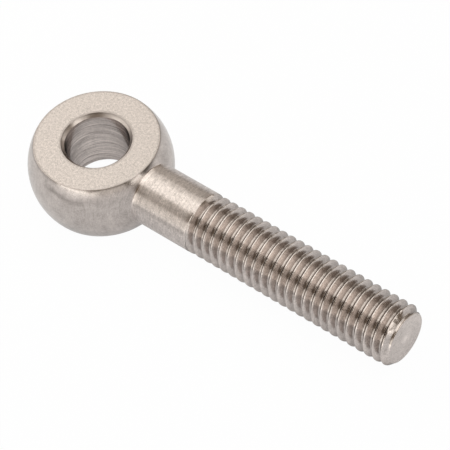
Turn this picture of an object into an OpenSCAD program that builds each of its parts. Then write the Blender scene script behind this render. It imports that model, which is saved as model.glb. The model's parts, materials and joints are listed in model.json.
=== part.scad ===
// Fixed rod end: a solid eye bolt, turned, milled, drilled and threaded from one bar.
// The origin is the centre of the eye. Z runs along the bore. X runs along the shank to the tip.

/* [Eye] */
// Diameter of the ball that the eye is milled from
ball_d = 18; // [16:0.5:24]
// Width of the eye between its two flats
eye_w = 9; // [8.6:0.1:12]
// Diameter of the cross bore
bore_d = 8; // [4:0.1:10]
// Radial width of the chamfer at each mouth of the bore
mouth_w = 0.4; // [0.1:0.05:0.8]
// Depth of the chamfer at each mouth of the bore
mouth_h = 0.45; // [0.1:0.05:0.8]

/* [Shank] */
// Diameter of the plain shank
shank_d = 7.8; // [7:0.1:8.4]
// Radius of the fillet between the ball and the shank
neck_r = 0.2; // [0.1:0.05:0.8]
// Distance from the centre of the eye to the end of the plain shank
shank_end = 16.3; // [14:0.1:24]
// Angle of the shoulder at the end of the plain shank, from the axis
shoulder_angle = 50; // [40:1:55]

/* [Thread] */
// Distance from the centre of the eye to the tip of the thread
tip_x = 46; // [30:0.5:80]
// Distance between neighbouring crests
pitch = 1.25; // [1.1:0.05:1.6]
// Depth of the thread from crest to root
thread_depth = 0.74; // [0.4:0.01:0.8]
// Width of the flat on the crest
crest_w = 0.16; // [0.1:0.01:0.3]
// How far the crest lies below the surface of the plain shank
crest_drop = 0.02; // [0.01:0.01:0.1]
// Place along the shank of one crest, on the side of the part that faces +Y
crest_x = 17.26; // [16:0.01:18]
// Diameter of the flat face at the tip
tip_d = 6.4; // [4:0.1:6.6]
// Angle of the tip's chamfer, from the axis
tip_angle = 45; // [30:1:60]

/* [Hidden] */
// Angle between each flank and the plane across the axis
FLANK_ANGLE = 30;
// Straight steps in one turn of the helix
STEPS = 48;
// Overrun of cuts
OVER = 1;
// How far below the thread's root the shoulder ends, inside the metal
SINK = 0.5;
$fn = 96;

ball_r = ball_d / 2;
bore_r = bore_d / 2;
shank_r = shank_d / 2;
crest_r = shank_r - crest_drop;
root_r = crest_r - thread_depth;
tip_r = tip_d / 2;

// The fillet's arc touches the ball and the shank: its centre is neck_r clear of both
neck_x = sqrt(pow(ball_r + neck_r, 2) - pow(shank_r + neck_r, 2));
core_r = root_r - SINK;
core_x = shank_end + (shank_r - core_r) / tan(shoulder_angle);

// The helix starts inside the shank, and runs out beyond the tip before it is trimmed
flank_w = thread_depth * tan(FLANK_ANGLE);
first_turn = ceil((shank_end - crest_x) / pitch) - 2;
last_turn = ceil((tip_x - crest_x) / pitch) + 1;
turns = last_turn - first_turn;

// A point of the thread's surface: step i along the helix, at an axial offset and a radius.
// The helix is right-handed: it turns from +Y to +Z as it advances along +X
function thread_point(i, offset, r) =
    [crest_x + (first_turn + i / STEPS) * pitch + offset,
     r * cos(360 * i / STEPS),
     r * sin(360 * i / STEPS)];

// The thread's section over one pitch: crest, flank and root, each as [axial offset, radius]
thread_section = [
    [-crest_w / 2, crest_r],
    [crest_w / 2, crest_r],
    [crest_w / 2 + flank_w, root_r],
    [pitch - crest_w / 2 - flank_w, root_r]
];
SECTION = len(thread_section);
last_step = turns * STEPS;

// The index of section point j at step i: the point after the last is the next turn's first
function at(i, j) = j < SECTION ? i * SECTION + j : (i + STEPS) * SECTION;

// A rod with the thread on it, closed by a fan of triangles at each end
module threaded_rod() {
    helix = [
        for (i = [0 : last_step])
            for (p = thread_section) thread_point(i, p[0], p[1])
    ];
    start_centre = len(helix);
    end_centre = start_centre + 1;
    last_row = last_step - STEPS;
    skin = [
        for (i = [0 : last_row - 1])
            for (j = [0 : SECTION - 1])
                for (side = [0, 1])
                    side == 0
                        ? [at(i, j), at(i, j + 1), at(i + 1, j + 1)]
                        : [at(i, j), at(i + 1, j + 1), at(i + 1, j)]
    ];
    start_cap = concat(
        [for (i = [0 : STEPS - 1]) [start_centre, at(i, 0), at(i + 1, 0)]],
        [for (j = [0 : SECTION - 1]) [start_centre, at(0, j + 1), at(0, j)]]
    );
    end_cap = concat(
        [for (i = [0 : STEPS - 1]) [end_centre, at(last_row + i + 1, 0), at(last_row + i, 0)]],
        [for (j = [0 : SECTION - 1]) [end_centre, at(last_row, j), at(last_row, j + 1)]]
    );
    centres = [
        for (i = [0, last_row]) [thread_point(i, pitch / 2, 0)[0], 0, 0]
    ];
    polyhedron(points = concat(helix, centres), faces = concat(skin, start_cap, end_cap));
}

// Everything inside the tip's chamfer and end face
module tip_envelope() {
    outer_r = shank_r + OVER;
    cone_l = (outer_r - tip_r) / tan(tip_angle);
    rotate([0, 90, 0]) {
        cylinder(r = outer_r, h = tip_x - cone_l);
        translate([0, 0, tip_x - cone_l])
            cylinder(r1 = outer_r, r2 = tip_r, h = cone_l);
    }
}

// Half section of the turned blank: ball, fillet and plain shank, with the axis along Y
module blank_profile() {
    intersection() {
        circle(r = ball_r);
        translate([0, -ball_r]) square([ball_r, ball_d]);
    }
    difference() {
        polygon([[0, 0], [shank_r + neck_r, neck_x], [0, neck_x]]);
        translate([shank_r + neck_r, neck_x]) circle(r = neck_r);
    }
    polygon([
        [0, 0],
        [shank_r, 0],
        [shank_r, shank_end],
        [core_r, core_x],
        [0, core_x]
    ]);
}

// The blank with the two flats milled on its ball
module milled_blank() {
    intersection() {
        rotate([0, 90, 0]) rotate_extrude() blank_profile();
        translate([-ball_r - OVER, -ball_r - OVER, -eye_w / 2])
            cube([ball_d + shank_end + tip_x, ball_d + 2 * OVER, eye_w]);
    }
}

// The cross bore and the chamfer at each of its mouths
module bore_cut() {
    cylinder(r = bore_r, h = eye_w + 2 * OVER, center = true);
    for (side = [-1, 1])
        scale([1, 1, side])
            translate([0, 0, eye_w / 2 - mouth_h])
                cylinder(r1 = bore_r, r2 = bore_r + 2 * mouth_w, h = 2 * mouth_h);
}

module eye_bolt() {
    color([0.78, 0.75, 0.72])
        union() {
            difference() {
                milled_blank();
                bore_cut();
            }
            intersection() {
                threaded_rod();
                tip_envelope();
            }
        }
}

eye_bolt();
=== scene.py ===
"""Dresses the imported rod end: a finely made eye bolt in turned and milled steel, on a pale floor."""
import json
import math

import bmesh
import bpy
import numpy as np
from mathutils import Matrix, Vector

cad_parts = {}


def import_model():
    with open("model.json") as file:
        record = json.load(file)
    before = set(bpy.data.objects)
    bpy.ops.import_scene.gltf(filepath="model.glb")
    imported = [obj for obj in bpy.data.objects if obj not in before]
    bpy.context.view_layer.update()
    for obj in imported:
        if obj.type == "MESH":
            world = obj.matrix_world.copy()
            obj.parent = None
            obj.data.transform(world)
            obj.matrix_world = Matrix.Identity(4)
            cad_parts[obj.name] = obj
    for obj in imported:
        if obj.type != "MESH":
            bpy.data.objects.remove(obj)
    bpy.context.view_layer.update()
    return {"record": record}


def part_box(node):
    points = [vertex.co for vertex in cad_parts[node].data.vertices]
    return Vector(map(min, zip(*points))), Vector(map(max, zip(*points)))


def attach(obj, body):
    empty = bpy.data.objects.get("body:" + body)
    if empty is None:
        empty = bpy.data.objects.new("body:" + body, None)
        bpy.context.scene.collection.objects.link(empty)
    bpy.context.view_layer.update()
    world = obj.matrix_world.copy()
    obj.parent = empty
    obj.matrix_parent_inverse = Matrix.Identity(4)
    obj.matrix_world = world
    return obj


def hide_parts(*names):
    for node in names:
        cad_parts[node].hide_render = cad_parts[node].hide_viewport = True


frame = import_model()

# The part and the camera are worked out in millimetres, which Blender takes in metres. The floor and the
# lamps are given in metres
MM = 0.001

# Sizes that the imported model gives
low, high = (np.array(corner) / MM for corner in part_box("eye_bolt"))
mounts = {mount["name"]: mount for mount in frame["record"]["mounts"]}
BALL_R = -low[0]
HALF_W = high[2]
TIP_X = high[0]
BORE_R = mounts["eye_bore"]["dims"]["r_mm"]
MOUTH_H = HALF_W - mounts["eye_bore"]["dims"]["length_mm"] / 2
SHANK_R = mounts["shank"]["dims"]["r_mm"]
SHANK_END = mounts["shank"]["pos_m"][0] / MM + mounts["shank"]["dims"]["length_mm"] / 2
CREST_R = mounts["thread"]["dims"]["r_mm"]

# Eye: the rim of its flats, the chamfer at each mouth of the bore, and how far the edges are rounded
RIM_R = math.sqrt(BALL_R ** 2 - HALF_W ** 2)
MOUTH_W = 0.4
MOUTH_ROUND = 0.06
FLAT_EDGE_ROUND = 0.04

# Neck: the fillet's arc touches the ball and the shank, and the plain shank starts below its centre
NECK_FILLET = 0.2
NECK_X = math.sqrt((BALL_R + NECK_FILLET) ** 2 - (SHANK_R + NECK_FILLET) ** 2)

# Thread: an M8 helix, right-handed, that turns from +Y to +Z as it advances along +X
PITCH = 1.25
CREST_X = 17.26
CREST_W = 0.12
THREAD_DEPTH = 0.74
ROOT_R = CREST_R - THREAD_DEPTH
FLANK_ANGLE = math.radians(30)
CREST_ROUND = 0.015
ROOT_ROUND = 0.17
SHOULDER_ANGLE = math.radians(50)
SHOULDER_BLEND = 0.04

# Waves in the height of the crest: height, waves in each radian of the helix, and phase
CREST_WAVES = [(0.004, 1.7, 0.0), (0.003, 4.3, 1.0), (0.002, 9.1, 0.0)]

# Tip: chamfer and rounded rim
TIP_R = 3.2
TIP_ANGLE = math.radians(45)
TIP_BLEND = 0.05
TIP_ROUND = 0.06

# Uneven cut that the chamfering tool left in the last crest. Its waves are height and waves in each radian
CUT_DEPTH = 0.4
CUT_AT = math.radians(96)
CUT_SPREAD = 0.09
CUT_BEHIND_TIP = 0.25
CUT_WAVES = [(0.03, 9), (0.015, 23)]

# The thread's grid starts on the plain shank, just before its end, and stops where the tip's rim rounds over
THREAD_START = SHANK_END - 0.1
THREAD_STOP = TIP_X - TIP_ROUND

# Fineness of the mesh, as steps along each stretch. The front is what the ring leaves open on each side of X
RING_STEPS = 160
FRONT_STEPS = RING_STEPS // 8
BELT_STEPS = 26
PATCH_STEPS = 8
WALL_STEPS = 9
CORNER_STEPS = 4
MOUTH_STEPS = 2
FLAT_STEPS = 12
EDGE_STEPS = 5
FILLET_STEPS = 6
SHANK_STEPS = 11
CREST_STEPS = 2
ROOT_STEPS = 3
END_STEPS = 8

# A line of points this close to the edge of a straight stretch, as a share of it, keeps its shading flat
BESIDE_EDGE = 0.02

# Rings of points on the shank, as distances from the neck, for the ring of painted highlight there
BESIDE_NECK = np.array([0.06, 0.13, 0.2, 0.28, 0.38, 0.5])

# Rows of the thread's grid, as distances from the crest's middle, besides those of its outline. No row lies
# closer than the gap to the one in the middle of the root, and rows that agree to the digits given are one
MORE_ROWS = [0.045, 0.09, 0.34]
ROW_GAP = 0.01
ROW_DIGITS = 4

# Turns of the helix past each end of the grid, so that every column is covered
SPARE_TURNS = 2

# Points closer than this are welded
WELD = 0.0005

# The finishes of the part, in the order of the mesh's material slots
ZONES = ["flat", "ball", "bore", "mouth", "shank", "thread", "tip"]


# Small tools for outlines and grids

def arc(angle):
    """Points on a circle of radius 1: the cosine and the sine of each angle."""
    return np.stack([np.cos(angle), np.sin(angle)], -1)


def rounded(before, corner, after, radius, steps):
    """Points on the arc that rounds a corner, evenly from where it touches one side to the other.

    The arc's centre lies on the line that halves the corner, one radius from both straight sides.
    """
    before, corner, after = (np.array(point, float) for point in (before, corner, after))
    to_before = (before - corner) / np.linalg.norm(before - corner)
    to_after = (after - corner) / np.linalg.norm(after - corner)
    half = math.acos(np.clip(to_before @ to_after, -1, 1)) / 2
    middle = (to_before + to_after) / np.linalg.norm(to_before + to_after)
    centre = corner + middle * radius / math.sin(half)
    start = corner + to_before * radius / math.tan(half) - centre
    end = corner + to_after * radius / math.tan(half) - centre
    share = np.linspace(0, 1, steps + 1)[:, None]
    swing = math.pi - 2 * half
    return centre + (np.sin((1 - share) * swing) * start + np.sin(share * swing) * end) / math.sin(swing)


def along(start, end, steps):
    """Points inside a straight stretch: evenly spaced ones, and a close one near each end."""
    even = np.linspace(0, 1, steps + 1)[1:-1]
    share = np.concatenate([[BESIDE_EDGE], even, [1 - BESIDE_EDGE]])[:, None]
    return np.array(start) * (1 - share) + np.array(end) * share


def quads(rows, columns, closed_rows=False, closed_columns=False):
    """Corner numbers of the quads of a grid whose points are numbered row by row.

    In a closed direction the last line of points is joined to the first.
    """
    row = np.arange(rows if closed_rows else rows - 1)
    column = np.arange(columns if closed_columns else columns - 1)
    row, column = np.meshgrid(row, column, indexing="ij")
    next_row, next_column = (row + 1) % rows, (column + 1) % columns
    return np.stack([row * columns + column, row * columns + next_column,
                     next_row * columns + next_column, next_row * columns + column], -1)


def about_x(x, radius, angle):
    """Points at a distance from the X axis: the angle runs from +Y to +Z."""
    x, radius, angle = np.broadcast_arrays(x, radius, angle)
    return np.stack([x, radius * np.cos(angle), radius * np.sin(angle)], -1)


def smooth_max(first, second, blend):
    """The larger of two values, rounded where they are close.

    It is half of their sum and of the root of their squared difference plus the squared blend.
    """
    return (first + second + np.sqrt((first - second) ** 2 + blend ** 2)) / 2


def smooth_min(first, second, blend):
    """The smaller of two values, rounded where they are close: the smooth maximum with all signs turned."""
    return -smooth_max(-first, -second, blend)


def near(value, place, reach, power=2):
    """1 at a place and 0 well past its reach.

    It is e to the power of minus the distance over the reach, which is itself raised to a power.
    """
    return np.exp(-np.abs((value - place) / reach) ** power)


# Eye

def eye_section():
    """Closed outline of the ring in (radius, height): bore wall, chamfer, flat, rounded edge and ball.

    The wall, the chamfer and the flat are straight, with arcs at their corners, and the ball is an arc
    about the eye's centre. The upper half runs from the middle of the bore to the middle of the ball, and
    the lower half mirrors it. Returns the outline, the zone number of each of its points, and the slice
    of it that lies on the ball.
    """
    wall_top = (BORE_R, HALF_W - MOUTH_H)
    mouth = (BORE_R + MOUTH_W, HALF_W)
    edge_height = HALF_W - FLAT_EDGE_ROUND
    edge_centre = np.array([math.sqrt((BALL_R - FLAT_EDGE_ROUND) ** 2 - edge_height ** 2), edge_height])
    edge_latitude = math.asin(edge_height / (BALL_R - FLAT_EDGE_ROUND))

    inner = rounded((BORE_R, 0), wall_top, mouth, MOUTH_ROUND, CORNER_STEPS)
    wall = np.linspace((BORE_R, 0), inner[0], WALL_STEPS + 1)[:-1]
    outer = rounded(wall_top, mouth, (edge_centre[0], HALF_W), MOUTH_ROUND, CORNER_STEPS)
    edge = edge_centre + FLAT_EDGE_ROUND * arc(np.linspace(math.pi / 2, edge_latitude, EDGE_STEPS + 1))
    ball = BALL_R * arc(np.linspace(edge_latitude, 0, BELT_STEPS // 2 + 1)[1:])
    stretches = [(wall, "bore"), (inner, "bore"), (along(inner[-1], outer[0], MOUTH_STEPS), "mouth"),
                 (outer, "mouth"), (along(outer[-1], edge[0], FLAT_STEPS), "flat"), (edge, "ball"),
                 (ball, "ball")]

    upper = np.concatenate([points for points, _ in stretches])
    zones = np.concatenate([np.full(len(points), ZONES.index(zone)) for points, zone in stretches])
    lower = upper[-2:0:-1] * [1, -1]
    first_on_ball = len(upper) - len(ball) - 1
    return (np.concatenate([upper, lower]), np.concatenate([zones, zones[-2:0:-1]]),
            slice(first_on_ball, first_on_ball + BELT_STEPS + 1))


def eye_ring():
    """The ring: its section carried round the Z axis, with the ball left open in front of the shank.

    Returns the grid's points, its quads and their zone numbers, and the loop of points round the opening
    in the order of their angle about the X axis.
    """
    section, zones, belt = eye_section()
    radius, height = section.T
    turn = 2 * math.pi * np.arange(RING_STEPS)[:, None] / RING_STEPS
    points = np.stack(np.broadcast_arrays(radius * np.cos(turn), radius * np.sin(turn), height), -1)
    faces = quads(RING_STEPS, len(section), closed_rows=True, closed_columns=True)

    in_front = (np.arange(RING_STEPS) + FRONT_STEPS) % RING_STEPS < 2 * FRONT_STEPS
    place = np.arange(len(section))
    on_ball = (place >= belt.start) & (place < belt.stop - 1)
    keep = ~(in_front[:, None] & on_ball)
    face_zones = np.broadcast_to(np.maximum(zones, np.roll(zones, -1)), keep.shape)

    side = np.arange(belt.stop - 1, belt.start, -1)
    front = np.arange(FRONT_STEPS, -FRONT_STEPS, -1)
    loop = np.concatenate([points[FRONT_STEPS, side], points[front, belt.start],
                           points[-FRONT_STEPS, side[::-1] - 1], points[-front, belt.stop - 1]])
    return points.reshape(-1, 3), faces[keep], face_zones[keep], loop


def ball_front(loop):
    """The ball in front of the shank, and the angle about the X axis of each column of its grid.

    Each column is a great circle through the X axis, from the fillet's edge out to a point of the loop.
    """
    reach = np.arccos(loop[:, 0] / BALL_R)
    angle = np.unwrap(np.arctan2(loop[:, 2], loop[:, 1]))
    neck = math.asin((SHANK_R + NECK_FILLET) / (BALL_R + NECK_FILLET))
    share = np.linspace(0, 1, PATCH_STEPS + 1)[:, None]
    polar = neck + (reach - neck) * share
    return about_x(BALL_R * np.cos(polar), BALL_R * np.sin(polar), angle), angle


# Shank and thread

def shank(ball_angle, even_angle):
    """The fillet and the plain shank, up to the ring where the thread's grid starts.

    The fillet's section is an arc that touches the ball and the shank, and the shank's is a straight line.
    From the fillet on, the columns slide from the angles of the ball's grid to even ones. Returns the
    fillet's grid and the plain one.
    """
    centre = (NECK_X, SHANK_R + NECK_FILLET)
    on_ball = math.atan2(-centre[1], -centre[0])
    fillet = centre + NECK_FILLET * arc(np.linspace(on_ball, -math.pi / 2, FILLET_STEPS + 1))
    even_x = np.linspace(NECK_X, THREAD_START, SHANK_STEPS + 1)[1:]
    plain_x = np.concatenate([NECK_X + BESIDE_NECK, even_x])
    x = np.concatenate([fillet[:, 0], plain_x])[:, None]
    radius = np.concatenate([fillet[:, 1], np.full(len(plain_x), SHANK_R)])[:, None]
    share = np.clip((x - x[0]) / (THREAD_START - x[0]), 0, 1)
    grid = about_x(x, radius, ball_angle * (1 - share) + even_angle * share)
    return grid[:FILLET_STEPS + 1], grid[FILLET_STEPS:]


def thread_outline():
    """Half of the thread's section in (distance from the crest's middle, radius), from crest to root.

    Crest, flank and root are straight lines, with arcs at the corners between them.
    """
    flank_w = THREAD_DEPTH * math.tan(FLANK_ANGLE)
    crest = (CREST_W / 2, CREST_R)
    root = (CREST_W / 2 + flank_w, ROOT_R)
    past_middle = (PITCH / 2 + ROOT_ROUND, ROOT_R)
    return np.concatenate([[(0, CREST_R)], rounded((-1, CREST_R), crest, root, CREST_ROUND, CREST_STEPS),
                           rounded(crest, root, past_middle, ROOT_ROUND, ROOT_STEPS)])


def thread_radius(x, angle):
    """Radius of the endless thread: the outline read at the distance along X from the nearest crest.

    A crest moves one pitch along X in each turn. Small sine waves along the helix change its height.
    """
    outline = thread_outline()
    turns = (x - CREST_X) / PITCH - angle / (2 * math.pi)
    offset = PITCH * (turns - np.round(turns))
    helix = np.round(turns) * 2 * math.pi + angle
    waver = sum(height * np.sin(rate * helix + phase) for height, rate, phase in CREST_WAVES)
    return np.interp(np.abs(offset), outline[:, 0], outline[:, 1]) + waver * near(offset, 0, CREST_W)


def tip_cut(x, angle):
    """How much deeper the chamfer is cut into the last crest.

    The cut is deepest on a line along the upper side of the tip. It fades from there by how far the cosine
    of the angle between falls short of 1, and it grows from 0 over a short way behind the tip. Two sine
    waves make it uneven.
    """
    beside_line = near(np.cos(angle - CUT_AT), 1, CUT_SPREAD)
    behind_tip = np.clip((TIP_X - CUT_BEHIND_TIP - x) / CUT_BEHIND_TIP, 0, 1)
    uneven = sum(height * np.sin(rate * angle) for height, rate in CUT_WAVES)
    return beside_line * behind_tip * (CUT_DEPTH + uneven)


def shaft_radius(x, angle):
    """Radius of the shank and thread.

    It is the smooth maximum of the thread and the shoulder's cone, held below the shank and below the
    tip's cone by smooth minimums.
    """
    shoulder = SHANK_R - (x - SHANK_END) * math.tan(SHOULDER_ANGLE)
    tip_cone = TIP_R + (TIP_X - x) * math.tan(TIP_ANGLE) - tip_cut(x, angle)
    radius = smooth_max(thread_radius(x, angle), shoulder, SHOULDER_BLEND)
    radius = smooth_min(radius, SHANK_R, SHOULDER_BLEND / 2)
    return smooth_min(radius, tip_cone, TIP_BLEND)


def thread(even_angle):
    """The thread: rows that follow the helix, one pitch along X in each turn, at the shaft's radius.

    Where a row would pass the ring at the thread's start or the one at the tip, it lies on that ring, and
    the weld closes it.
    """
    half = np.concatenate([[0], MORE_ROWS, thread_outline()[1:, 0]])
    half = np.unique(np.round(half[half < PITCH / 2 - ROW_GAP], ROW_DIGITS))
    offsets = np.concatenate([-half[:0:-1], half, [PITCH / 2]])
    first = math.floor((THREAD_START - CREST_X) / PITCH) - SPARE_TURNS
    last = math.ceil((THREAD_STOP - CREST_X) / PITCH) + SPARE_TURNS
    crests = CREST_X + PITCH * np.arange(first, last + 1)
    rows = (crests[:, None] + offsets).ravel()
    angle = np.append(even_angle, even_angle[0] + 2 * math.pi)
    x = np.clip(rows[:, None] + PITCH * angle / (2 * math.pi), THREAD_START, THREAD_STOP)
    radius = np.where(x <= THREAD_START, SHANK_R, shaft_radius(x, angle))
    return about_x(x, radius, angle)


def tip_cap(even_angle):
    """The end face with its rounded rim: a quarter of a circle in section, and straight lines to the centre.

    Where the thread's groove runs out, the rim follows its root.
    """
    rim = shaft_radius(THREAD_STOP, even_angle)
    turn = np.linspace(0, math.pi / 2, EDGE_STEPS + 1)[:, None]
    edge_x = THREAD_STOP + TIP_ROUND * np.sin(turn)
    edge = about_x(edge_x, rim - TIP_ROUND * (1 - np.cos(turn)), even_angle)
    inward = np.concatenate([[1 - BESIDE_EDGE], np.linspace(1, 0, END_STEPS + 1)[1:]])[:, None]
    return np.concatenate([edge, about_x(TIP_X, (rim - TIP_ROUND) * inward, even_angle)])


# Painted shade and painted highlights, as an amount at each point of the mesh. Angles are in degrees here

# How far a dark line along an edge reaches, and how much farther the painted dark spot beside the neck does
LINE_REACH = 0.15
PAINTED_SPOT_REACH = 0.35


def rim_shade(x, y, z):
    """Dark lines of painted shade along the flats' rims and the bore's mouths, fading with the distance from
    them.

    The rim's painted line fades out in two places, and a wide dark spot on the ball beside the neck is a
    painted dark reflection.
    """
    radius, down = np.hypot(x, y), HALF_W - np.abs(z)
    turn = np.degrees(np.arctan2(y, x))
    # Painted dark reflection: a wide dark spot on the ball beside the neck, below the flat
    spot = near(turn, place=-6, reach=14) * np.clip((turn + 9) / 2, 0, 1) * (down > 0.01)
    # Where the ball reflects bright light beside the rim, the painted line fades out
    rim_line_gap = near(turn, place=-13, reach=6) + 0.85 * near(turn, place=-69, reach=29, power=4)
    from_rim, from_mouth = np.hypot(radius - RIM_R, down), np.hypot(radius - BORE_R - MOUTH_W, down)
    # Painted shade line along the rims, widened beside the neck by the painted dark reflection
    at_rim = near(from_rim, place=0, reach=LINE_REACH + PAINTED_SPOT_REACH * spot) * (1 - rim_line_gap + spot)
    # Painted shade line along each mouth of the bore
    at_mouth = near(from_mouth, place=0, reach=LINE_REACH)
    return np.maximum(at_rim, at_mouth)


def ball_shade(x, y, z):
    """A faint dark line painted across the ball, below the upper flat: a painted dark reflection.

    Its latitude is 17.4 degrees, and past a turn of -65 degrees it rises as the square of the turn. The
    line grows stronger past -75 degrees, and it ends where X is 4 mm.
    """
    turn = np.degrees(np.arctan2(y, x))
    latitude = np.degrees(np.arcsin(np.clip(z / BALL_R, -1, 1)))
    line = 17.4 + 0.007 * np.clip(-65 - turn, 0, 24) ** 2
    # Painted dark reflection across the ball
    across = near(latitude, place=line, reach=1.9) * near(turn, place=-76, reach=23, power=4)
    strength = 0.85 * (1 + 0.03 * np.clip(-75 - turn, 0, 15))
    return strength * across * (np.hypot(x, y) > RIM_R + 0.1) * (x < 4)


def shaft_shade(x, y, z):
    """Painted shade: a dark line in the fillet's crease, a faint painted dark reflection along the shank and
    thread, and shade in the thread's depth.
    """
    from_axis, about = np.hypot(y, z), np.degrees(np.arctan2(z, y))
    # Painted shade line in the crease of the fillet
    on_fillet = near(from_axis, place=SHANK_R + NECK_FILLET / 2, reach=0.035)
    on_fillet *= near(about, place=123, reach=12, power=4) * (x > NECK_X - 0.3) * (x < SHANK_END)
    # Faint painted dark reflection along the shank and thread
    along_shaft = 0.7 * near(about, place=156, reach=4.5) * (x > NECK_X) * (x < TIP_X - 0.7)
    # Painted shade in the thread's roots, darkest at the bottom
    depth = np.clip((CREST_R - from_axis) / THREAD_DEPTH, 0, 1) * (x > SHANK_END) * (x < TIP_X - 0.3)
    return on_fillet + along_shaft + depth


def shade_amount(points):
    """How dark the painted shade and painted dark reflections are, where 1 is a plain line: the sum of all of
    them.
    """
    x, y, z = points.T
    return rim_shade(x, y, z) + ball_shade(x, y, z) + shaft_shade(x, y, z)


def painted_highlight_amount(points):
    """How much painted highlight lies on the metal, where 1 is the brightest.

    It lies at the centre of the end face, and as a ring on the shank beside the neck. That ring fades to the
    sides.
    """
    x, y, z = points.T
    from_axis, about = np.hypot(y, z), np.degrees(np.arctan2(z, y))
    # Painted highlight at the centre of the end face
    centre = near(from_axis, place=0, reach=0.5) * (x > TIP_X - 0.01)
    # Painted highlight ring on the shank beside the neck
    ring = near(x, place=NECK_X + 0.12, reach=0.25) * near(about, place=108, reach=50, power=6)
    return centre + ring * (from_axis < SHANK_R + 0.11)


# The part

def patch(grid, zone, closed_columns=True):
    """A grid of points as a patch of the mesh: its points, its quads and their zone numbers."""
    faces = quads(*grid.shape[:2], closed_columns=closed_columns).reshape(-1, 4)
    return grid.reshape(-1, 3), faces, np.full(len(faces), ZONES.index(zone))


def eye_bolt_patches():
    """Ring, ball in front, fillet, shank, thread and tip, which meet along loops that they share."""
    *ring, loop = eye_ring()
    front, ball_angle = ball_front(loop)
    even_angle = ball_angle[0] + 2 * math.pi * np.arange(len(ball_angle)) / len(ball_angle)
    fillet, plain = shank(ball_angle, even_angle)
    return [ring, patch(front, "ball"), patch(fillet, "ball"), patch(plain, "shank"),
            patch(thread(even_angle), "thread", closed_columns=False), patch(tip_cap(even_angle), "tip")]


def eye_bolt():
    """One closed mesh of all the patches, welded, with the painted shade and painted highlights as attributes
    of its points.
    """
    patch_points, patch_faces, patch_zones = zip(*eye_bolt_patches())
    points = np.concatenate(patch_points)
    first_point = np.cumsum([0] + [len(each) for each in patch_points])
    faces = np.concatenate([each + first for each, first in zip(patch_faces, first_point)])

    mesh = bpy.data.meshes.new("eye_bolt_fine")
    mesh.from_pydata(points * MM, [], faces.tolist())
    mesh.polygons.foreach_set("material_index", np.concatenate(patch_zones).astype(np.int32))
    for name, amount in (("shade", shade_amount(points)), ("bright", painted_highlight_amount(points))):
        mesh.attributes.new(name, "FLOAT", "POINT").data.foreach_set("value", amount.astype(np.float32))
    shape = bmesh.new()
    shape.from_mesh(mesh)
    bmesh.ops.remove_doubles(shape, verts=shape.verts, dist=WELD * MM)
    bmesh.ops.recalc_face_normals(shape, faces=shape.faces)
    for face in shape.faces:
        face.smooth = True
    shape.to_mesh(mesh)
    shape.free()
    return mesh


bolt_mesh = eye_bolt()
bolt = bpy.data.objects.new("eye_bolt_fine", bolt_mesh)
bpy.context.scene.collection.objects.link(bolt)
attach(bolt, "root")
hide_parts("eye_bolt")


# Shader nodes

def node(tree, kind, inputs=None, **settings):
    """A node with its settings.

    inputs gives the sockets to read from and the plain values, by the input's name or number.
    """
    made = tree.nodes.new(kind)
    for name, value in settings.items():
        setattr(made, name, value)
    for key, value in (inputs or {}).items():
        if isinstance(value, bpy.types.NodeSocket):
            tree.links.new(value, made.inputs[key])
        else:
            made.inputs[key].default_value = value
    return made


def math_node(tree, operation, *values, clamp=False):
    """The result of a Math node on one or more values."""
    inputs = dict(enumerate(values))
    return node(tree, "ShaderNodeMath", inputs, operation=operation, use_clamp=clamp).outputs[0]


def vector_math(tree, operation, inputs):
    """A Vector Math node."""
    return node(tree, "ShaderNodeVectorMath", inputs, operation=operation)


def mixed_colour(tree, share, first, second):
    """A mix of two colours by the share of the second, with a Mix node's sockets for colours."""
    return node(tree, "ShaderNodeMix", {0: share, 6: first, 7: second}, data_type="RGBA").outputs[2]


def noise(tree, position, scale, detail=2.0, roughness=0.6):
    """Noise between 0 and 1 that averages a half."""
    inputs = {"Vector": position, "Scale": scale, "Detail": detail, "Roughness": roughness}
    return node(tree, "ShaderNodeTexNoise", inputs, noise_dimensions="3D").outputs["Fac"]


def blended(tree, fine, coarse, fine_share):
    """Two values added in shares that sum to 1."""
    return math_node(tree, "ADD", math_node(tree, "MULTIPLY", fine, fine_share),
                     math_node(tree, "MULTIPLY", coarse, 1 - fine_share))


def as_tone(tree, value):
    """A tone that averages 0 and mostly stays between -1 and 1: four times a noise value, less 2."""
    return math_node(tree, "MULTIPLY_ADD", value, 4.0, -2.0)


def group(name, inputs, outputs):
    """A shared node group. An input is (name, socket type, default), and an output (name, socket type)."""
    tree = bpy.data.node_groups.new(name, "ShaderNodeTree")
    for socket, kind, default in inputs:
        made = tree.interface.new_socket(socket, in_out="INPUT", socket_type=kind)
        made.default_value = default
    for socket, kind in outputs:
        tree.interface.new_socket(socket, in_out="OUTPUT", socket_type=kind)
    return tree, tree.nodes.new("NodeGroupInput"), tree.nodes.new("NodeGroupOutput")


POSITION = ("Position mm", "NodeSocketVector", (0, 0, 0))
TONE = ("Tone", "NodeSocketFloat")
HEIGHT = ("Height", "NodeSocketFloat")


def grain_group():
    """Fine pits and grains all over a surface, with a few coarser specks.

    The tone is a blend of fine and coarse noise, and the height is the fine noise.
    """
    tree, start, end = group("Fine grain", [POSITION, ("Grain size mm", "NodeSocketFloat", 0.2)],
                             [TONE, HEIGHT])
    position = start.outputs["Position mm"]
    scale = math_node(tree, "DIVIDE", 1.0, start.outputs["Grain size mm"])
    coarse_scale = math_node(tree, "MULTIPLY", scale, 0.3)
    fine = noise(tree, position, scale)
    mixed = blended(tree, fine, noise(tree, position, coarse_scale), fine_share=0.7)
    tree.links.new(as_tone(tree, mixed), end.inputs["Tone"])
    tree.links.new(fine, end.inputs["Height"])
    return tree


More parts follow.
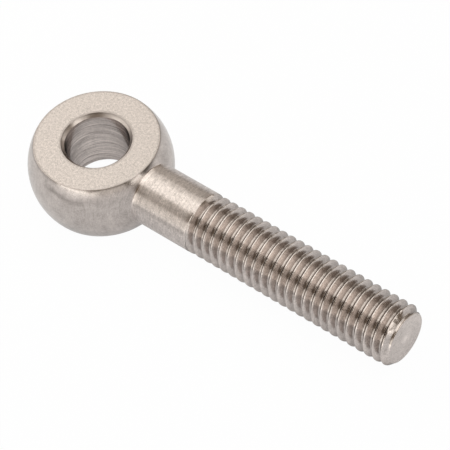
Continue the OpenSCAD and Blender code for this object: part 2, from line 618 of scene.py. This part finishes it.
def marks_group():
    """Tool marks: noise drawn out along the path of the tool, fine and coarse together.

    The noise changes fast across the path, by the spacing, and slowly along it, by the streak's length.
    """
    tree, start, end = group("Tool marks", [("Across mm", "NodeSocketFloat", 0.0), POSITION,
                                            ("Spacing mm", "NodeSocketFloat", 0.1),
                                            ("Streak mm", "NodeSocketFloat", 2.0)],
                             [TONE, HEIGHT])
    rate = math_node(tree, "DIVIDE", start.outputs["Across mm"], start.outputs["Spacing mm"])
    slow = math_node(tree, "DIVIDE", 1.0, start.outputs["Streak mm"])
    drawn = vector_math(tree, "SCALE", {0: start.outputs["Position mm"], "Scale": slow}).outputs[0]
    marks = []
    for density in (1.0, 0.27):
        shift = node(tree, "ShaderNodeCombineXYZ", {"X": math_node(tree, "MULTIPLY", rate, density)})
        place = vector_math(tree, "ADD", {0: drawn, 1: shift.outputs[0]}).outputs[0]
        marks.append(noise(tree, place, 1.0, roughness=0.55))
    mixed = blended(tree, *marks, fine_share=0.55)
    tree.links.new(as_tone(tree, mixed), end.inputs["Tone"])
    tree.links.new(mixed, end.inputs["Height"])
    return tree


def cloud_group():
    """Slow changes of tone over the surface, as handling and washing leave them: coarse noise."""
    tree, start, end = group("Cloudiness", [POSITION, ("Cloud size mm", "NodeSocketFloat", 3.0)], [TONE])
    scale = math_node(tree, "DIVIDE", 1.0, start.outputs["Cloud size mm"])
    clouds = noise(tree, start.outputs["Position mm"], scale, detail=3.0, roughness=0.55)
    tree.links.new(as_tone(tree, clouds), end.inputs["Tone"])
    return tree


GRAIN, MARKS, CLOUDS = grain_group(), marks_group(), cloud_group()


# Steel

# The dark colour of the painted shade and painted dark reflections
PAINTED_SHADE_DARK = (0.07, 0.055, 0.045)

# How far the tones of the grain and of the clouds each change the roughness
ROUGHNESS_CHANGE = 0.03

# Turned by a quarter from the path of the tool, the reflection is drawn out across the tool marks
QUARTER_TURN = 0.25

# What most of the surfaces have. The base colour goes from dark to light as the tone goes from 0 to 1. Sizes
# and depths are in millimetres. shade says how far an amount of 1 of painted shade darkens the steel,
# bright_tone how far an amount of 1 of painted highlight lightens it, and edge_on is the tint of the
# reflection where a surface is seen edge-on
USUAL = {
    "tone": 0.5, "dark": (0.33, 0.296, 0.278), "light": (0.866, 0.785, 0.747),
    "grain_size": 0.13, "grain_tone": 0.4, "grain_depth": 0.004,
    "mark_spacing": 0.09, "streak": 1.5, "mark_tone": 0.15, "mark_depth": 0.001,
    "cloud_size": 2.5, "cloud_tone": 0.05,
    "shade": 0.45, "bright_tone": 0.5, "edge_on": 1.0,
}


def across_marks(tree, position, turned_about, facing_cut):
    """The distance in mm across the tool's path.

    It is the distance from the X axis on a faced end, and else the place along the axis of the turning, or
    along X where there is none.
    """
    if facing_cut:
        from_axis = vector_math(tree, "MULTIPLY", {0: position, 1: (0, 1, 1)}).outputs[0]
        return vector_math(tree, "LENGTH", {0: from_axis}).outputs["Value"]
    split = node(tree, "ShaderNodeSeparateXYZ", {"Vector": position})
    return split.outputs["Z" if turned_about == "Z" else "X"]


def surface_effects(tree, amounts, turned_about, facing_cut):
    """The grain, the tool marks and the clouds of one finish, on Object coordinates in mm."""
    coords = node(tree, "ShaderNodeTexCoord")
    position = vector_math(tree, "SCALE", {0: coords.outputs["Object"], "Scale": 1 / MM}).outputs[0]
    across = across_marks(tree, position, turned_about, facing_cut)
    grain = node(tree, "ShaderNodeGroup", {"Position mm": position, "Grain size mm": amounts["grain_size"]},
                 node_tree=GRAIN)
    marks = node(tree, "ShaderNodeGroup",
                 {"Position mm": position, "Across mm": across, "Spacing mm": amounts["mark_spacing"],
                  "Streak mm": amounts["streak"]}, node_tree=MARKS)
    clouds = node(tree, "ShaderNodeGroup", {"Position mm": position, "Cloud size mm": amounts["cloud_size"]},
                  node_tree=CLOUDS)
    return grain, marks, clouds


def steel_colour(tree, amounts, grain, marks, clouds):
    """The base colour: dark to light by the sum of all tones, the painted highlights among them, then on to
    the painted shade's dark colour by the shade.
    """
    shade = node(tree, "ShaderNodeAttribute", attribute_name="shade").outputs["Fac"]
    bright = node(tree, "ShaderNodeAttribute", attribute_name="bright").outputs["Fac"]
    tone = math_node(tree, "MULTIPLY", grain.outputs["Tone"], amounts["grain_tone"])
    tone = math_node(tree, "MULTIPLY_ADD", marks.outputs["Tone"], amounts["mark_tone"], tone)
    tone = math_node(tree, "MULTIPLY_ADD", clouds.outputs["Tone"], amounts["cloud_tone"], tone)
    # The painted highlights lighten the tone
    tone = math_node(tree, "MULTIPLY_ADD", bright, amounts["bright_tone"], tone)
    tone = math_node(tree, "ADD", tone, amounts["tone"], clamp=True)
    metal = mixed_colour(tree, tone, (*amounts["dark"], 1), (*amounts["light"], 1))
    # The painted shade takes the colour on towards its dark colour
    shade_share = math_node(tree, "MULTIPLY", shade, amounts["shade"], clamp=True)
    return mixed_colour(tree, shade_share, metal, (*PAINTED_SHADE_DARK, 1))


def steel_roughness(tree, usual, grain, clouds):
    """The roughness: a little more than usual where the clouds and the grain are light."""
    rough = math_node(tree, "MULTIPLY_ADD", clouds.outputs["Tone"], ROUGHNESS_CHANGE, usual)
    return math_node(tree, "MULTIPLY_ADD", grain.outputs["Tone"], ROUGHNESS_CHANGE, rough)


def steel_normal(tree, amounts, grain, marks):
    """The normal, tilted by the pits of the grain and then by the grooves of the tool marks."""
    pit_depth, groove_depth = amounts["grain_depth"] * MM, amounts["mark_depth"] * MM
    pits = node(tree, "ShaderNodeBump",
                {"Height": grain.outputs["Height"], "Strength": 1.0, "Distance": pit_depth})
    grooves = node(tree, "ShaderNodeBump",
                   {"Height": marks.outputs["Height"], "Strength": 1.0, "Distance": groove_depth,
                    "Normal": pits.outputs[0]})
    return grooves.outputs[0]


def steel(name, roughness, anisotropic=0.0, turned_about=None, facing_cut=False, **changes):
    """Bare steel of one finish.

    turned_about is the axis that the tool marks run around, X or Z, or None for a surface without a
    direction. facing_cut says that the marks are rings on an end face. changes holds what differs from
    the usual amounts of the effects.
    """
    amounts = {**USUAL, **changes}
    material = bpy.data.materials.new(name)
    material.use_nodes = True
    tree = material.node_tree
    shader = tree.nodes["Principled BSDF"]
    shader.inputs["Metallic"].default_value = 1
    shader.inputs["Anisotropic"].default_value = anisotropic
    shader.inputs["Anisotropic Rotation"].default_value = QUARTER_TURN
    shader.inputs["Specular Tint"].default_value = (amounts["edge_on"],) * 3 + (1,)
    if turned_about:
        tangent = node(tree, "ShaderNodeTangent", direction_type="RADIAL", axis=turned_about)
        tree.links.new(tangent.outputs[0], shader.inputs["Tangent"])
    grain, marks, clouds = surface_effects(tree, amounts, turned_about, facing_cut)
    tree.links.new(steel_colour(tree, amounts, grain, marks, clouds), shader.inputs["Base Color"])
    tree.links.new(steel_roughness(tree, roughness, grain, clouds), shader.inputs["Roughness"])
    tree.links.new(steel_normal(tree, amounts, grain, marks), shader.inputs["Normal"])
    return material


STEELS = {
    "flat": steel("milled flat", 0.5, tone=0.53, dark=(0.329, 0.298, 0.28), light=(0.862, 0.789, 0.753),
                  grain_size=0.09, grain_tone=0.8, mark_tone=0.0, mark_depth=0.0),
    "ball": steel("turned ball", 0.19, 0.6, "X", tone=0.38, grain_size=0.09, grain_tone=0.3,
                  cloud_size=1.8, cloud_tone=0.17),
    "bore": steel("bored wall", 0.15, 0.5, "Z", tone=0.49, grain_tone=0.3, mark_spacing=0.13, streak=4.0,
                  mark_tone=0.78, mark_depth=0.005, edge_on=0.45),
    "mouth": steel("countersunk mouth", 0.3, 0.5, "Z", tone=0.57, grain_tone=0.2),
    "shank": steel("turned shank", 0.34, 0.7, "X", tone=0.47, grain_size=0.1, grain_tone=0.6,
                   mark_spacing=0.08, streak=1.2, mark_tone=0.35),
    "thread": steel("cut thread", 0.21, 0.4, "X", tone=0.57, shade=0.28, mark_spacing=0.06,
                    mark_tone=0.25, edge_on=0.55),
    "tip": steel("faced tip", 0.3, 0.3, "X", facing_cut=True, tone=0.46, bright_tone=0.45,
                 mark_spacing=0.2, mark_tone=0.2),
}
for zone in ZONES:
    bolt_mesh.materials.append(STEELS[zone])


# Floor

FLOOR_HALF = 3.0
FLOOR_COLOUR = (0.75, 0.78, 0.82)
FLOOR_ROUGHNESS = 0.14

# How far the floor is plain white to the camera, and to reflections
WHITE_TO_CAMERA = 0.975
WHITE_TO_REFLECTIONS = 0.44


def white_page():
    """Glossy white, which the camera sees as nearly pure white with a trace of its shadows.

    Reflections see it as part pure white and part as it is lit.
    """
    material = bpy.data.materials.new("white page")
    material.use_nodes = True
    tree = material.node_tree
    shader = tree.nodes["Principled BSDF"]
    shader.inputs["Base Color"].default_value = (*FLOOR_COLOUR, 1)
    shader.inputs["Roughness"].default_value = FLOOR_ROUGHNESS
    rays = node(tree, "ShaderNodeLightPath")
    white_share = math_node(tree, "MULTIPLY", rays.outputs["Is Camera Ray"], WHITE_TO_CAMERA)
    for ray in ("Is Glossy Ray", "Is Transmission Ray"):
        white_share = math_node(tree, "MULTIPLY_ADD", rays.outputs[ray], WHITE_TO_REFLECTIONS, white_share)
    white = node(tree, "ShaderNodeEmission", {"Color": (1, 1, 1, 1), "Strength": 1.0})
    blend = node(tree, "ShaderNodeMixShader", {0: white_share, 1: shader.outputs[0], 2: white.outputs[0]})
    tree.links.new(blend.outputs[0], tree.nodes["Material Output"].inputs["Surface"])
    return material


def floor():
    """A wide square, in metres, at the height of the eye's lower flat."""
    mesh = bpy.data.meshes.new("floor")
    corners = [(x * FLOOR_HALF, y * FLOOR_HALF, low[2] * MM) for x, y in ((-1, -1), (1, -1), (1, 1), (-1, 1))]
    mesh.from_pydata(corners, [], [(0, 1, 2, 3)])
    mesh.materials.append(white_page())
    page = bpy.data.objects.new("floor", mesh)
    bpy.context.scene.collection.objects.link(page)


# Light

ROOM_COLOUR = (0.166, 0.127, 0.09)
LAMP_COLOUR = (1.0, 1.0, 0.96)


def softbox(name, place, facing, size, radiance):
    """A rectangular lamp that faces the object and that the camera doesn't see.

    place and size, which is its width and height, are in metres. facing is the way to it, as azimuth and
    elevation in degrees. A radiance of 1 looks as bright as a white page.
    """
    width, height = size
    lamp = bpy.data.lights.new(name, "AREA")
    lamp.shape = "RECTANGLE"
    lamp.size, lamp.size_y = width, height
    lamp.energy = radiance * math.pi * width * height
    lamp.color = LAMP_COLOUR
    box = bpy.data.objects.new(name, lamp)
    bpy.context.scene.collection.objects.link(box)
    box.location = place
    azimuth, elevation = (math.radians(angle) for angle in facing)
    box.rotation_euler = (math.pi / 2 - elevation, 0, azimuth + math.pi / 2)
    box.visible_camera = False


def lamps():
    """The studio's lamps. Each lies where the part reflects it as one of its bright or grey areas."""
    softbox("overhead", (-0.15, 0.02, 0.6), facing=(0, 90), size=(0.52, 1.05), radiance=1.23)
    softbox("front low", (0.06, -0.45, 0.0255), facing=(-87, 3), size=(0.5, 0.056), radiance=1.2)
    softbox("corner low", (0.364, -0.264, 0.0498), facing=(-36, 6), size=(0.38, 0.092), radiance=0.72)
    softbox("front panel", (-0.07, -0.567, 0.165), facing=(-99, 16), size=(0.6, 0.3), radiance=1.02)
    softbox("right low", (0.496, 0.065, 0.0325), facing=(7, 4), size=(0.19, 0.06), radiance=2.3)
    softbox("right mid", (0.6, 0.03, 0.26), facing=(3, 23), size=(0.34, 0.36), radiance=0.3)
    softbox("right key", (0.532, 0.056, 0.272), facing=(6, 27), size=(0.27, 0.13), radiance=1.55)
    softbox("right back low", (0.312, 0.446, 0.0765), facing=(55, 8), size=(0.3, 0.13), radiance=0.85)
    softbox("right high", (0.34, 0.09, 0.46), facing=(15, 54), size=(0.7, 0.22), radiance=1.4)
    softbox("left panel", (-0.43, -0.02, 0.38), facing=(183, 41), size=(0.8, 0.3), radiance=1.0)
    softbox("left front low", (-0.5, -0.24, 0.165), facing=(-155, 16), size=(0.56, 0.38), radiance=0.9)
    softbox("left back low", (-0.48, 0.29, 0.165), facing=(150, 16), size=(0.74, 0.32), radiance=0.66)
    softbox("back panel", (0.04, 0.57, 0.185), facing=(88, 18), size=(0.62, 0.42), radiance=0.17)
    softbox("back high", (-0.05, 0.38, 0.46), facing=(100, 50), size=(0.8, 0.22), radiance=0.8)


def world():
    """The dim room between the lamps."""
    room = bpy.data.worlds.new("studio")
    bpy.context.scene.world = room
    room.use_nodes = True
    background = room.node_tree.nodes["Background"]
    background.inputs["Color"].default_value = (*ROOM_COLOUR, 1)
    background.inputs["Strength"].default_value = 1


# Camera, as fitted to the photograph. The way from the eye to it is given by its azimuth, counted from -Y
# towards +X, and its elevation. It is rolled about that way, and shifted right and up in its own picture
CAMERA_AZIMUTH = math.radians(45.31)
CAMERA_ELEVATION = math.radians(51.59)
CAMERA_ROLL = math.radians(-8.51)
CAMERA_DISTANCE = 321.51
CAMERA_RIGHT = 15.12
CAMERA_UP = -7.524

# Lens: the fitted focal length and the picture's width in pixels, the sensor's width, and how near it sees
FOCAL_PIXELS = 2628.45
PICTURE_PIXELS = 450
SENSOR_W = 36
NEAREST_SEEN = 10


def camera():
    """The photograph's view."""
    level_back = np.array([math.sin(CAMERA_AZIMUTH), -math.cos(CAMERA_AZIMUTH), 0])
    level_right = np.array([math.cos(CAMERA_AZIMUTH), math.sin(CAMERA_AZIMUTH), 0])
    back = level_back * math.cos(CAMERA_ELEVATION) + [0, 0, math.sin(CAMERA_ELEVATION)]
    upright = np.cross(back, level_right)
    right = level_right * math.cos(CAMERA_ROLL) + upright * math.sin(CAMERA_ROLL)
    up = upright * math.cos(CAMERA_ROLL) - level_right * math.sin(CAMERA_ROLL)
    place = back * CAMERA_DISTANCE + right * CAMERA_RIGHT + up * CAMERA_UP
    lens = bpy.data.cameras.new("camera")
    lens.sensor_width = SENSOR_W
    lens.lens = FOCAL_PIXELS / PICTURE_PIXELS * SENSOR_W
    lens.clip_start = NEAREST_SEEN * MM
    viewer = bpy.data.objects.new("camera", lens)
    bpy.context.scene.collection.objects.link(viewer)
    turn = Matrix((right, up, back)).transposed()
    viewer.matrix_world = Matrix.Translation(place * MM) @ turn.to_4x4()
    bpy.context.scene.camera = viewer


floor()
world()
lamps()
camera()
bpy.context.scene.view_settings.view_transform = "Standard"
